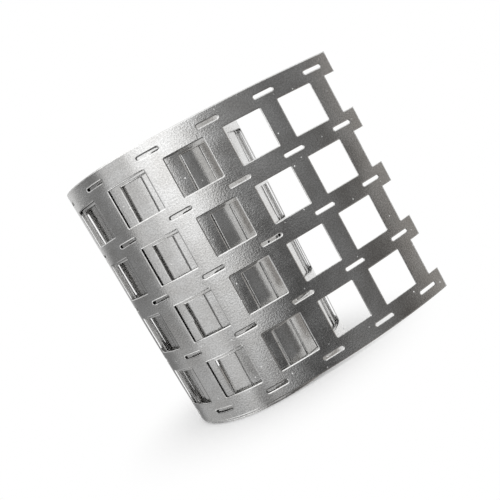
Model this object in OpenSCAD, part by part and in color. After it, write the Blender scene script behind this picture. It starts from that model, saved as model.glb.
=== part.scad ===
// Perforated nickel strip for welding battery cells into packs, wound in a loose roll.
// One stamped strip: rails run along it, rungs run across it, and a slot marks each cell.
// The roll stands on its end with its axis on Z. The free end leaves the front along +X.

/* [Grid] */
// Distance between cell centres, along the strip and across it
cell_pitch = 20.2; // [18:0.1:24]
// Cells across the strip, which is the number of rails
cells_across = 5; // [2:1:8]
// Cells along the strip, which is the number of rungs
cells_along = 50; // [12:1:60]

/* [Stamping] */
// Thickness of the nickel sheet
sheet_t = 0.15; // [0.1:0.05:0.2]
// Width of a rail, which runs along the strip
rail_w = 7.2; // [5:0.1:9]
// Width of a rung, which runs across the strip
rung_w = 6.8; // [5:0.1:9]
// Length of a weld slot, end to end
slot_l = 7.4; // [4:0.1:8.4]
// Width of a weld slot
slot_w = 1.1; // [0.6:0.1:2]
// How far each rail runs on past the last rung
tab_l = 4.6; // [1:0.1:6]

/* [Roll] */
// Radius of the outer turn, at the middle of the sheet
roll_r = 29.6; // [25:0.1:40]
// Radial distance from one turn to the next, sheet included
turn_step = 0.6; // [0.55:0.05:1.2]
// Length of the free end, from the last rung's middle to the roll
free_l = 60.6; // [30:0.1:90]
// Radius that the free end is still curled to
free_r = 132; // [80:1:400]

/* [Hidden] */
$fn = 180;

window_h = cell_pitch - rail_w;
strip_w = (cells_across - 1) * cell_pitch + rail_w;
// The strip is cut to length through the windows past its first and last rungs, which leaves a tab on each rail
end_overhang = rung_w / 2 + tab_l;
strip_start = -free_l - end_overhang;
strip_end = (cells_along - 1) * cell_pitch - free_l + end_overhang;
// Angle about the roll's axis at which the strip leaves the roll
leave_a = -90;
leave_dir = [cos(leave_a), sin(leave_a)];
// A cutter reaches this far past the sheet's middle, which is clear of the turns beside it
cut_reach = sheet_t;
// Straight steps that stand for the half circle at a slot's end
slot_end_steps = 4;

// The strip is a chain of bends, and a place on it is a length from where it leaves the roll.
// The free end is the first bend. Then come half circles about two centres, each half a turn step
// smaller than the one before it, so that they meet without a kink.
free_bend = -1;
function half_r(k) = roll_r - k * turn_step / 2;
function bend_r(k) = k == free_bend ? free_r : half_r(k);
function bend_centre(k) =
    k == free_bend ? (roll_r - free_r) * leave_dir
    : k % 2 == 0 ? [0, 0]
    : -turn_step / 2 * leave_dir;
function bend_start(k) =
    k == free_bend ? strip_start
    : k == 0 ? 0
    : bend_start(k - 1) + PI * half_r(k - 1);
function bend_at(s, k = free_bend) = s < bend_start(k + 1) ? k : bend_at(s, k + 1);
last_bend = bend_at(strip_end);

// Angle about a bend's centre at length s. Each bend starts at its joint with the one before it.
function joint_a(k) = leave_a - 180 * max(k, 0);
function bend_a(s, k) = joint_a(k) - degrees(s - max(bend_start(k), 0), bend_r(k));
function degrees(length, r) = length / r * 180 / PI;
function rung_at(i) = i * cell_pitch - free_l;

// Turns its outline along bend k from one length to another. X of the outline is the distance from the
// sheet's middle. What reaches the next joint is turned back from it, so that both sides meet there.
module turn(k, from, to) {
    back = to == bend_start(k + 1);
    translate(bend_centre(k))
        rotate(back ? joint_a(k + 1) : bend_a(from, k))
            rotate_extrude(angle = (back ? 1 : -1) * degrees(to - from, bend_r(k)))
                translate([bend_r(k), 0])
                    children();
}

// Sheet before it is stamped
module plain_strip() {
    for (k = [free_bend : last_bend])
        turn(k, bend_start(k), min(bend_start(k + 1), strip_end))
            translate([-sheet_t / 2, 0])
                square([sheet_t, strip_w]);
}

// Cutter for the windows between rung i and the next, curved as the strip is there
module window_column(i) {
    from = rung_at(i) + rung_w / 2;
    to = rung_at(i + 1) - rung_w / 2;
    for (k = [bend_at(from) : bend_at(to)])
        turn(k, k == bend_at(from) ? from : bend_start(k), k == bend_at(to) ? to : bend_start(k + 1))
            for (row = [0 : cells_across - 2])
                translate([-cut_reach, rail_w + row * cell_pitch])
                    square([2 * cut_reach, window_h]);
}

// Outline of a weld slot: two half circles joined by straight sides
function slot_outline() = [
    for (end = [0 : 1], step = [0 : slot_end_steps])
        let (a = 180 * (end + step / slot_end_steps) - 90)
        [(1 - 2 * end) * (slot_l - slot_w) / 2, 0] + slot_w / 2 * [cos(a), sin(a)]
];

// Cutter for the weld slots of rung i. It reaches further in, because the sheet curves away from it.
module slot_column(i) {
    k = bend_at(rung_at(i));
    drop = bend_r(k) - sqrt(pow(bend_r(k), 2) - pow(slot_l / 2, 2));
    translate(bend_centre(k))
        rotate(bend_a(rung_at(i), k))
            translate([bend_r(k) - drop - cut_reach, 0, rail_w / 2])
                rotate([90, 0, 90])
                    linear_extrude(drop + 2 * cut_reach)
                        for (row = [0 : cells_across - 1])
                            translate([0, row * cell_pitch])
                                polygon(slot_outline());
}

module nickel_strip() {
    color("silver")
        difference() {
            plain_strip();
            for (i = [-1 : cells_along - 1])
                window_column(i);
            for (i = [0 : cells_along - 1])
                slot_column(i);
        }
}

nickel_strip();
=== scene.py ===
"""Looks of a perforated nickel strip for battery cells, wound in a loose roll that stands on its edge."""
import math
from collections import namedtuple

import bpy
import numpy as np
from mathutils import Matrix, Vector


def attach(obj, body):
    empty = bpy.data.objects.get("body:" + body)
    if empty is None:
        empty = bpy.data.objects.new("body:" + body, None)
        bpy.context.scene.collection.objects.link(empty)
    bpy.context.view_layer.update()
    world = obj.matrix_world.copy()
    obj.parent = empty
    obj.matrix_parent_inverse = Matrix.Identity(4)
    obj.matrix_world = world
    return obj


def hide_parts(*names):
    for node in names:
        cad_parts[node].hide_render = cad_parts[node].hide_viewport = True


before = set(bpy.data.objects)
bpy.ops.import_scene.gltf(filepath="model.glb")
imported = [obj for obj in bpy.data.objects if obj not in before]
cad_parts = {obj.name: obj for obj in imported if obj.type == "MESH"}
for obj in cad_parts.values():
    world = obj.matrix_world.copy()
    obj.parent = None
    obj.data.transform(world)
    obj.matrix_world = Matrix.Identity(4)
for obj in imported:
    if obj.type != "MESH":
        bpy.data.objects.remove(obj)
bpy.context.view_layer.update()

# Metres in a millimetre. The sizes of the strip are in millimetres.
MM = 0.001

# Stamping
CELL_PITCH = 20.2
CELLS_ACROSS = 5
CELLS_ALONG = 50
SHEET_T = 0.15
RAIL_W = 7.2
RUNG_W = 6.8
SLOT_L = 7.4
SLOT_W = 1.1
TAB_L = 4.6
STRIP_W = (CELLS_ACROSS - 1) * CELL_PITCH + RAIL_W
WINDOW_CORNER_R = 0.25
# The punch draws the edge of the outer face down over a narrow rim, which tilts more towards the edge
RIM_W = 0.35
RIM_DROP = 0.03
RIM_TILT_INSIDE = math.radians(15)
RIM_TILT_AT_EDGE = math.radians(38)

# Roll
ROLL_R = 29.6
TURN_STEP = 0.6
FREE_L = 60.6
FREE_R = 132.0
STRIP_START = -FREE_L - RUNG_W / 2 - TAB_L
STRIP_END = (CELLS_ALONG - 1) * CELL_PITCH - FREE_L + RUNG_W / 2 + TAB_L
# Turns lie a little tighter or looser: the change of radius for each half turn, from the outer one inwards
HALF_TURN_EASE = (0.078, 0.078, -0.126, -0.126, -0.156, -0.016, 0.124, 0.246, 0, 0, 0, 0)
# The outer end has slipped up along the roll, and its rungs are turned by an angle in radians against those
# of the roll. Both settle over the length given last.
SLIP = 1.0
SLIP_TURN = 0.021
SETTLE_L = 88.0
# The roll is wider than round, and more so at the top: how far its sides stand out at half height, and how
# much further for each millimetre over that
SIDES_OUT = 0.7
SIDES_FLARE = 0.0225

# Waves left in the sheet by handling: height, wavelength along the strip, wavelength across it, phase
WAVES = (
    (0.050, 71.0, 55.0, 0.4),
    (0.022, 33.0, -47.0, 1.9),
    (0.012, 19.0, 29.0, 4.1),
)

# Steps of the mesh. Its cross lines are all straight across the strip, so that it bends cleanly.
RUNG_STEPS_ALONG = 3
RUNG_STEPS_ACROSS = 4
CORNER_STEPS = 3
SLOT_END_ANGLES = (60, 90)
RAIL_STEPS = 3
# Digits that lengths and heights are rounded to, so that points that meet are one point
LENGTH_DIGITS = 4
HEIGHT_DIGITS = 5

# Order of the materials on the mesh
FACE_MATERIAL = 0
WALL_MATERIAL = 1

# Outline of the face within its rims
RUNG_REACH = RUNG_W / 2 - RIM_W
CORNER_AT = RUNG_W / 2 + WINDOW_CORNER_R
CORNER_R = WINDOW_CORNER_R + RIM_W
SLOT_STRAIGHT = (SLOT_L - SLOT_W) / 2
SLOT_R = SLOT_W / 2 + RIM_W
SLOT_REACH = SLOT_STRAIGHT + SLOT_R


def rail_middle(row):
    return RAIL_W / 2 + row * CELL_PITCH


def rail_half(distance, is_outside):
    """Half width of a rail within its rims, at a distance from the rung's middle.

    The rounded corners of the windows widen it next to the rung. The strip's outside edges are straight.
    """
    from_corner = min(max(CORNER_AT - distance, 0), CORNER_R)
    widening = CORNER_R - math.sqrt(CORNER_R ** 2 - from_corner ** 2)
    return RAIL_W / 2 - RIM_W + (0 if is_outside else widening)


def slot_half(distance):
    """Half width of a weld slot with its rim, at a distance from the rung's middle."""
    past_straight = min(max(distance - SLOT_STRAIGHT, 0), SLOT_R)
    return math.sqrt(SLOT_R ** 2 - past_straight ** 2)


def levels(distance, is_rung, has_slot):
    """Heights where the sheet starts, stops or is divided, each with whether there is sheet above it."""
    heights = []
    for row in range(CELLS_ACROSS):
        middle = rail_middle(row)
        heights.append((middle - rail_half(distance, row == 0), True))
        if has_slot:
            heights.append((middle - slot_half(distance), False))
            heights.append((middle + slot_half(distance), True))
        top = middle + rail_half(distance, row == CELLS_ACROSS - 1)
        if not is_rung or row == CELLS_ACROSS - 1:
            heights.append((top, False))
            continue
        next_low = rail_middle(row + 1) - rail_half(distance, False)
        for step in range(RUNG_STEPS_ACROSS):
            heights.append((top + (next_low - top) * step / RUNG_STEPS_ACROSS, True))
    return [(round(height, HEIGHT_DIGITS), is_sheet) for height, is_sheet in heights]


def cross_lines():
    """Lengths along the strip at which the mesh has a line straight across it."""
    rung = np.linspace(0, RUNG_REACH, RUNG_STEPS_ALONG + 1)
    corner = CORNER_AT - CORNER_R * np.cos(np.linspace(0, math.pi / 2, CORNER_STEPS + 1))
    slot_end = SLOT_STRAIGHT + SLOT_R * np.sin(np.radians(SLOT_END_ANGLES))
    rail = np.linspace(SLOT_REACH, CELL_PITCH / 2, RAIL_STEPS + 1)
    half = np.concatenate([rung, corner, slot_end, rail])
    rungs = np.arange(CELLS_ALONG) * CELL_PITCH - FREE_L
    lines = np.add.outer(rungs, np.concatenate([-half, half]))
    lines = np.unique(np.round(lines, LENGTH_DIGITS))
    first, last = STRIP_START + RIM_W, STRIP_END - RIM_W
    return [first, *lines[(lines > first) & (lines < last)], last]


def flat_face():
    """Flat mesh of the stamped face within its rims: points, and faces that run counterclockwise."""
    lines = cross_lines()
    spans = []
    on_line = [set() for _ in lines]
    for i in range(len(lines) - 1):
        middle = (lines[i] + lines[i + 1]) / 2
        rung = round((middle + FREE_L) / CELL_PITCH) * CELL_PITCH - FREE_L
        is_rung, has_slot = abs(middle - rung) < RUNG_REACH, abs(middle - rung) < SLOT_REACH
        before, after = [levels(abs(line - rung), is_rung, has_slot) for line in lines[i:i + 2]]
        for j, (_, is_sheet) in enumerate(before):
            if is_sheet:
                low, high = before[j][0], before[j + 1][0]
                next_low, next_high = after[j][0], after[j + 1][0]
                spans.append((i, low, high, next_low, next_high))
                on_line[i].update((low, high))
                on_line[i + 1].update((next_low, next_high))
    places = [(i, height) for i, heights in enumerate(on_line) for height in sorted(heights)]
    index = {place: number for number, place in enumerate(places)}
    faces = []
    for i, low, high, next_low, next_high in spans:
        rising = sorted(height for height in on_line[i + 1] if next_low <= height <= next_high)
        falling = sorted((height for height in on_line[i] if low <= height <= high), reverse=True)
        faces.append([index[i + 1, height] for height in rising] + [index[i, height] for height in falling])
    return np.array([(lines[i], height) for i, height in places]), faces


def flat_strip():
    """Flat mesh with rims.

    Returns points, faces, rim faces, edges of the sheet, and the way out of the sheet at the rims.
    """
    points, faces = flat_face()
    sides = {(a, b) for face in faces for a, b in zip(face, face[1:] + face[:1])}
    border = sorted((a, b) for a, b in sides if (b, a) not in sides)
    starts, ends = np.array(border).T
    run = unit(points[ends] - points[starts])
    normal = run[:, ::-1] * (1, -1)
    total = np.zeros_like(points)
    np.add.at(total, starts, normal)
    np.add.at(total, ends, normal)
    rim = np.unique(starts)
    mitre = 2 * total[rim] / (total[rim] ** 2).sum(1, keepdims=True)
    edge = {point: len(points) + i for i, point in enumerate(rim.tolist())}
    rims = [[b, a, edge[a], edge[b]] for a, b in border]
    walls = [(edge[a], edge[b]) for a, b in border]
    ways = np.zeros_like(points)
    ways[rim] = unit(mitre)
    ways = np.concatenate([ways, ways[rim]])
    return np.concatenate([points, points[rim] + RIM_W * mitre]), faces, rims, walls, ways


def bends():
    """Start, radius and centre's Y of each bend: the free end, then half circles that meet without a kink."""
    rows = [(-math.inf, FREE_R, FREE_R - ROLL_R)]
    start, centre, r = 0.0, 0.0, ROLL_R
    for half_turn, ease in enumerate(HALF_TURN_EASE):
        next_r = ROLL_R - half_turn * TURN_STEP / 2 + ease
        centre += (next_r - r) * (1 if half_turn % 2 == 0 else -1)
        r = next_r
        rows.append((start, r, centre))
        start += math.pi * r
    return np.array(rows).T


def eased(share):
    """Share from 0 to 1 that starts and stops changing without a kink."""
    return share ** 2 * (3 - 2 * share)


def rolled(flat, height):
    """Places flat points on the roll, at a height over the middle of the sheet.

    Returns the points, with the ways out of the roll and onward along the strip.
    """
    starts, radii, centres = bends()
    over_middle = flat[:, 1] - STRIP_W / 2
    settled = eased(np.clip(flat[:, 0] / SETTLE_L, 0, 1))
    along = flat[:, 0] - SLIP_TURN * over_middle * settled
    bend = np.searchsorted(starts, along, side="right") - 1
    turned = (along - np.maximum(starts[bend], 0)) / radii[bend]
    angle = -math.pi / 2 - math.pi * np.maximum(bend - 1, 0) - turned
    nothing = np.zeros_like(along)
    out = np.stack([np.cos(angle), np.sin(angle), nothing], 1)
    onward = np.stack([np.sin(angle), -np.cos(angle), nothing], 1)
    r = radii[bend] + height
    to_side = np.where(along > 0, out[:, 0] * np.abs(out[:, 0]), 0)
    x = r * out[:, 0] + (SIDES_OUT + SIDES_FLARE * over_middle) * to_side
    points = np.stack([x, centres[bend] + r * out[:, 1], flat[:, 1] + SLIP * (1 - settled)], 1)
    return points, out, onward


def waves(flat):
    """Height of the handling waves at flat points, and its slopes along and across the strip."""
    along, across = flat.T
    height, slope_along, slope_across = np.zeros((3, len(flat)))
    for size, length_along, length_across, phase in WAVES:
        turn_along, turn_across = 2 * math.pi / length_along, 2 * math.pi / length_across
        angle = turn_along * along + turn_across * across + phase
        height += size * np.sin(angle)
        slope_along += size * turn_along * np.cos(angle)
        slope_across += size * turn_across * np.cos(angle)
    return height, slope_along, slope_across


def unit(vectors):
    return vectors / np.linalg.norm(vectors, axis=1, keepdims=True)


def strip_mesh():
    """The rolled strip as a closed mesh: outer face, inner face and the stamped walls between them."""
    flat, faces, rims, walls, ways = flat_strip()
    up = np.array((0, 0, 1.0))
    count = len(flat)
    is_edge = np.isin(np.arange(count), walls)
    wave, slope_along, slope_across = waves(flat)
    outer, out, onward = rolled(flat, wave + SHEET_T / 2 - RIM_DROP * is_edge)
    inner, _, _ = rolled(flat, wave - SHEET_T / 2)
    normal = unit(out - slope_along[:, None] * onward - slope_across[:, None] * up)
    way = ways[:, :1] * onward + ways[:, 1:] * up
    tilt = np.where(is_edge, math.tan(RIM_TILT_AT_EDGE), math.tan(RIM_TILT_INSIDE))
    rim_normal = unit(normal + tilt[:, None] * way)
    outer_faces = [face[::-1] for face in faces]
    outer_rims = [face[::-1] for face in rims]
    inner_faces = [[v + count for v in face] for face in faces + rims]
    wall_faces = [[a, b, b + count, a + count] for a, b in walls]
    wall_normal = unit(np.array([way[a] + way[b] for a, b in walls]))
    all_faces = outer_faces + outer_rims + inner_faces + wall_faces
    mesh = bpy.data.meshes.new("stamped_strip")
    mesh.from_pydata(np.concatenate([outer, inner]) * MM, [], all_faces)
    mesh.shade_smooth()
    mesh.normals_split_custom_set(np.concatenate([
        normal[np.concatenate(outer_faces)],
        rim_normal[np.concatenate(outer_rims)],
        -normal[np.concatenate(inner_faces) - count],
        np.repeat(wall_normal, len(wall_faces[0]), axis=0),
    ]))
    material = [FACE_MATERIAL] * (2 * len(faces + rims)) + [WALL_MATERIAL] * len(walls)
    mesh.polygons.foreach_set("material_index", material)
    place = mesh.attributes.new("flat_mm", "FLOAT_VECTOR", "POINT")
    side = np.repeat([0.0, 1.0], count)[:, None]
    place.data.foreach_set("vector", np.hstack([np.tile(flat, (2, 1)), side]).astype(np.float32).ravel())
    return mesh


# Sockets of a mix of colours, which share their names with sockets for numbers
MIX_A = 6
MIX_B = 7
MIX_RESULT = 2


class Nodes:
    """Short way to add and join the nodes of one material."""

    def __init__(self, tree):
        self.tree = tree
        tree.nodes.clear()

    def add(self, kind, inputs=None, **settings):
        node = self.tree.nodes.new("ShaderNode" + kind)
        for name, value in settings.items():
            setattr(node, name, value)
        for name, value in (inputs or {}).items():
            if isinstance(value, bpy.types.NodeSocket):
                self.tree.links.new(value, node.inputs[name])
            else:
                node.inputs[name].default_value = value
        return node

    def math(self, operation, a, b=0.0, c=0.0):
        return self.add("Math", {0: a, 1: b, 2: c}, operation=operation).outputs[0]

    def ramp(self, value, low, high, to_low, to_high, kind="SMOOTHSTEP"):
        settings = {"Value": value, "From Min": low, "From Max": high, "To Min": to_low, "To Max": to_high}
        return self.add("MapRange", settings, interpolation_type=kind).outputs["Result"]

    def noise(self, place, scale, detail, roughness):
        settings = {"Vector": place, "Scale": scale, "Detail": detail, "Roughness": roughness}
        return self.add("TexNoise", settings).outputs["Fac"]

    def mix(self, share, a, b, blend_type="MIX"):
        node = self.add("Mix", {"Factor": share, MIX_A: a, MIX_B: b}, data_type="RGBA", blend_type=blend_type)
        return node.outputs[MIX_RESULT]


# Looks of the sheet. A noise has its scale, in spots to a millimetre, its layers of finer spots and how
# strong those are. Nearly all of it lies in the span given here. Heights are in metres.
NOISE_SPAN = (0.3, 0.7)
NICKEL_DULL = (0.65, 0.643, 0.63, 1)
NICKEL_CLEAN = (0.77, 0.77, 0.765, 1)
GRAIN_NOISE = (1.9, 2.0, 0.6)
GRAIN_SHADE = (0.82, 1.12)
GRAIN_HEIGHT = 0.000042
# Share of the grain that the face on the inside of the roll has
INSIDE_GRAIN = 0.25
# Lines are a noise drawn out along the strip. Their height is a share of the grain's.
LINE_STRETCH = (0.06, 3.0, 1.0)
LINE_NOISE = (1.0, 4.0, 0.65)
LINE_SHARE = 0.3
LINE_ROUGHNESS = 0.05
CLOUD_NOISE = (0.11, 3.0, 0.55)
FACE_ROUGHNESS = (0.15, 0.21)
# Specks lie in cells of a pattern, and fade out between two shares of a cell
SPECK_SCALE = 0.1
SPECK_EDGE = (0.015, 0.032)
SPECK_COLOUR = (0.93, 0.93, 0.92, 1)
EDGE_COLOUR = (0.85, 0.845, 0.835, 1)
EDGE_ROUGHNESS = (0.3, 0.5)
TEAR_NOISE = (6.0, 2.0, 0.5)
TEAR_HEIGHT = 0.00003


def new_material(name):
    material = bpy.data.materials.new(name)
    material.use_nodes = True
    return material, Nodes(material.node_tree)


def nickel():
    """Rolled nickel sheet: a satin face with a fine grain, faint lines along the strip and a few specks.

    The face on the inside of the roll has less grain.
    """
    material, nodes = new_material("nickel")
    place = nodes.add("Attribute", attribute_name="flat_mm").outputs["Vector"]
    grain = nodes.noise(place, *GRAIN_NOISE)
    lengthwise = nodes.add("Mapping", {"Vector": place, "Scale": LINE_STRETCH}).outputs[0]
    lines = nodes.noise(lengthwise, *LINE_NOISE)
    cloud = nodes.noise(place, *CLOUD_NOISE)
    speck = nodes.add("TexVoronoi", {"Vector": place, "Scale": SPECK_SCALE},
                      voronoi_dimensions="2D").outputs["Distance"]
    tone = nodes.ramp(cloud, *NOISE_SPAN, 0.0, 1.0)
    is_speck = nodes.math("MULTIPLY", tone, nodes.ramp(speck, *SPECK_EDGE, 1.0, 0.0))
    is_metal = nodes.math("SUBTRACT", 1.0, is_speck)
    colour = nodes.mix(tone, NICKEL_DULL, NICKEL_CLEAN)
    colour = nodes.mix(1.0, colour, nodes.ramp(grain, *NOISE_SPAN, *GRAIN_SHADE), blend_type="MULTIPLY")
    colour = nodes.mix(is_speck, colour, SPECK_COLOUR)
    rough = nodes.ramp(cloud, *NOISE_SPAN, *FACE_ROUGHNESS)
    rough = nodes.math("MULTIPLY_ADD", lines, LINE_ROUGHNESS, rough)
    height = nodes.math("MULTIPLY_ADD", lines, LINE_SHARE, grain)
    is_inside = nodes.add("SeparateXYZ", {0: place}).outputs[2]
    strength = nodes.ramp(is_inside, 0.0, 1.0, 1.0, INSIDE_GRAIN)
    bump = nodes.add("Bump", {"Height": height, "Strength": strength, "Distance": GRAIN_HEIGHT})
    shader = nodes.add("BsdfPrincipled", {"Base Color": colour, "Metallic": is_metal, "Roughness": rough,
                                          "Normal": bump.outputs["Normal"]})
    nodes.add("OutputMaterial", {"Surface": shader.outputs[0]})
    return material


def cut_edge():
    """Sheared wall of the stamping: bright and a little torn."""
    material, nodes = new_material("cut_edge")
    place = nodes.add("Attribute", attribute_name="flat_mm").outputs["Vector"]
    tear = nodes.noise(place, *TEAR_NOISE)
    rough = nodes.ramp(tear, *NOISE_SPAN, *EDGE_ROUGHNESS)
    bump = nodes.add("Bump", {"Height": tear, "Strength": 1.0, "Distance": TEAR_HEIGHT})
    shader = nodes.add("BsdfPrincipled", {"Base Color": EDGE_COLOUR, "Metallic": 1.0, "Roughness": rough,
                                          "Normal": bump.outputs["Normal"]})
    nodes.add("OutputMaterial", {"Surface": shader.outputs[0]})
    return material


def make_strip():
    strip = bpy.data.objects.new("stamped_strip", strip_mesh())
    bpy.context.scene.collection.objects.link(strip)
    strip.data.materials.append(nickel())
    strip.data.materials.append(cut_edge())
    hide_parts("nickel_strip")
    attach(strip, "root")


# Camera, in millimetres and degrees
CAMERA_AT = Vector((6.86, -226.35, 63.21))
CAMERA_AIM = Vector((12.86, -27.25, 45.31))
CAMERA_ROLL = 28.95
CAMERA_LENS = 47.07
CAMERA_CLIP = 10.0


def make_camera():
    camera = bpy.data.objects.new("camera", bpy.data.cameras.new("camera"))
    bpy.context.scene.collection.objects.link(camera)
    camera.data.lens = CAMERA_LENS
    camera.data.clip_start = CAMERA_CLIP * MM
    toward = (CAMERA_AIM - CAMERA_AT).to_track_quat("-Z", "Y").to_matrix()
    turned = toward @ Matrix.Rotation(math.radians(-CAMERA_ROLL), 3, "Z")
    camera.matrix_world = Matrix.Translation(CAMERA_AT * MM) @ turned.to_4x4()
    bpy.context.scene.camera = camera


# Studio, in metres. The shadow shows close to the part and fades into the white further out.
FLOOR_SIZE = 6.0
FLOOR_DROP = 0.00005
FLOOR_COLOUR = (0.99, 0.99, 0.99, 1)
SHADOW_NEAR = 0.02
SHADOW_FAR = 0.065
WHITE = (1, 1, 1, 1)
WARM_WHITE = (1, 0.95, 0.9, 1)

# Panels stand round the part and show only in reflections. They lean sideways about as far as the camera
# rolls, and each stands behind the one before it. A panel has its azimuths from the front towards +X and its
# elevations, with the widths over which its sides, its lower edge and its upper edge fade, all in degrees,
# and a brightness. It is white if no colour is given.
Panel = namedtuple("Panel", "name azimuths elevations fades level colour", defaults=[WHITE])
PANELS = (
    Panel("edge_light", (-98, -24), (6, 60), (8, 8, 5), 1.5),
    Panel("under_light", (-130, 12), (-85, -50), (8, 1, 8), 1.3),
    Panel("key_light", (-34, 11), (-24, 60), (7, 33, 5), 1.36),
    Panel("fill_light", (-72, -15), (-46, 60), (9, 12, 5), 0.72),
    Panel("low_glow", (29, 47), (-30, 5), (4, 6, 6), 0.3),
    Panel("high_glow", (12, 34), (15, 40), (5, 5, 10), 0.3),
    Panel("near_flag", (11, 37), (-85, 17), (6, 1, 10), 0.07),
    Panel("end_flag", (47, 67), (-85, 40), (5, 1, 20), 0.11, WARM_WHITE),
    Panel("right_flag", (6, 67), (-85, 60), (4, 1, 5), 0.185),
    Panel("warm_flag", (63, 108), (-85, 60), (4, 1, 5), 0.36, WARM_WHITE),
    Panel("back_light", (-200, -90), (-17, 45), (22, 8, 10), 0.75),
    Panel("low_bounce", (-165, -62), (-75, -33), (6, 10, 4), 0.5),
    Panel("left_flag", (-170, 10), (-85, 60), (6, 1, 5), 0.24),
)
PANEL_DISTANCE = 0.9
PANEL_SPACING = 0.01
PANEL_LEAN = 28.8
PANEL_STEP = 4.0


def seen_as_background(nodes):
    """1 for rays from the camera, in reflections and through clear things, else 0."""
    path = nodes.add("LightPath")
    seen = nodes.math("MAXIMUM", path.outputs["Is Camera Ray"], path.outputs["Is Glossy Ray"])
    return nodes.math("MAXIMUM", seen, path.outputs["Is Transmission Ray"])


def make_world():
    world = bpy.data.worlds.new("studio")
    bpy.context.scene.world = world
    world.use_nodes = True
    nodes = Nodes(world.node_tree)
    white = nodes.add("Background", {"Color": WHITE, "Strength": 1.0})
    nodes.add("OutputWorld", {"Surface": white.outputs[0]})


def floor_material():
    """White floor that shows the shadow near the object and fades into the white background."""
    material, nodes = new_material("floor")
    place = nodes.add("NewGeometry").outputs["Position"]
    distance = nodes.add("VectorMath", {0: place}, operation="LENGTH").outputs["Value"]
    far = nodes.ramp(distance, SHADOW_NEAR, SHADOW_FAR, 0.0, 1.0)
    share = nodes.math("MULTIPLY", far, seen_as_background(nodes))
    lit = nodes.add("BsdfDiffuse", {"Color": FLOOR_COLOUR})
    white = nodes.add("Emission", {"Color": WHITE, "Strength": 1.0})
    mixed = nodes.add("MixShader", {0: share, 1: lit.outputs[0], 2: white.outputs[0]})
    nodes.add("OutputMaterial", {"Surface": mixed.outputs[0]})
    return material


def make_floor():
    mesh = bpy.data.meshes.new("floor")
    half = FLOOR_SIZE / 2
    corners = [(x * half, y * half, -FLOOR_DROP) for x, y in ((-1, -1), (1, -1), (1, 1), (-1, 1))]
    mesh.from_pydata(corners, [], [(0, 1, 2, 3)])
    floor = bpy.data.objects.new("floor", mesh)
    bpy.context.scene.collection.objects.link(floor)
    mesh.materials.append(floor_material())
    floor.visible_glossy = False


def panel_material(panel):
    """Glow that fades out towards the panel's edges. The UV map holds azimuth and elevation in degrees."""
    material, nodes = new_material(panel.name)
    place = nodes.add("SeparateXYZ", {0: nodes.add("UVMap", uv_map="degrees").outputs[0]}).outputs
    (left, right), (low, high) = panel.azimuths, panel.elevations
    side_fade, low_fade, high_fade = panel.fades
    mask = nodes.ramp(place[0], left, left + side_fade, 0.0, 1.0)
    mask = nodes.math("MULTIPLY", mask, nodes.ramp(place[0], right - side_fade, right, 1.0, 0.0))
    mask = nodes.math("MULTIPLY", mask, nodes.ramp(place[1], low, low + low_fade, 0.0, 1.0, "LINEAR"))
    mask = nodes.math("MULTIPLY", mask, nodes.ramp(place[1], high - high_fade, high, 1.0, 0.0, "LINEAR"))
    clear = nodes.add("BsdfTransparent")
    glow = nodes.add("Emission", {"Color": panel.colour, "Strength": panel.level})
    mixed = nodes.add("MixShader", {0: mask, 1: clear.outputs[0], 2: glow.outputs[0]})
    nodes.add("OutputMaterial", {"Surface": mixed.outputs[0]})
    return material


def make_panel(panel, distance):
    """Patch of a sphere about the part."""
    columns, rows = [np.linspace(*span, math.ceil((span[1] - span[0]) / PANEL_STEP) + 1)
                     for span in (panel.azimuths, panel.elevations)]
    degrees = np.array([(azimuth, elevation) for azimuth in columns for elevation in rows])
    azimuth, elevation = np.radians(degrees).T
    wide = np.cos(elevation)
    points = distance * np.stack([wide * np.sin(azimuth), -wide * np.cos(azimuth), np.sin(elevation)], 1)
    tall = len(rows)
    firsts = [i * tall + j for i in range(len(columns) - 1) for j in range(tall - 1)]
    mesh = bpy.data.meshes.new(panel.name)
    mesh.from_pydata(points, [], [(first, first + tall, first + tall + 1, first + 1) for first in firsts])
    layer = mesh.uv_layers.new(name="degrees")
    for loop in mesh.loops:
        layer.data[loop.index].uv = degrees[loop.vertex_index]
    made = bpy.data.objects.new(panel.name, mesh)
    bpy.context.scene.collection.objects.link(made)
    mesh.materials.append(panel_material(panel))
    made.rotation_euler.y = math.radians(PANEL_LEAN)
    made.visible_camera = False
    made.visible_diffuse = False
    made.visible_shadow = False


make_strip()
make_camera()
make_world()
make_floor()
for order, studio_panel in enumerate(PANELS):
    make_panel(studio_panel, PANEL_DISTANCE + order * PANEL_SPACING)
bpy.context.scene.view_settings.view_transform = "Standard"
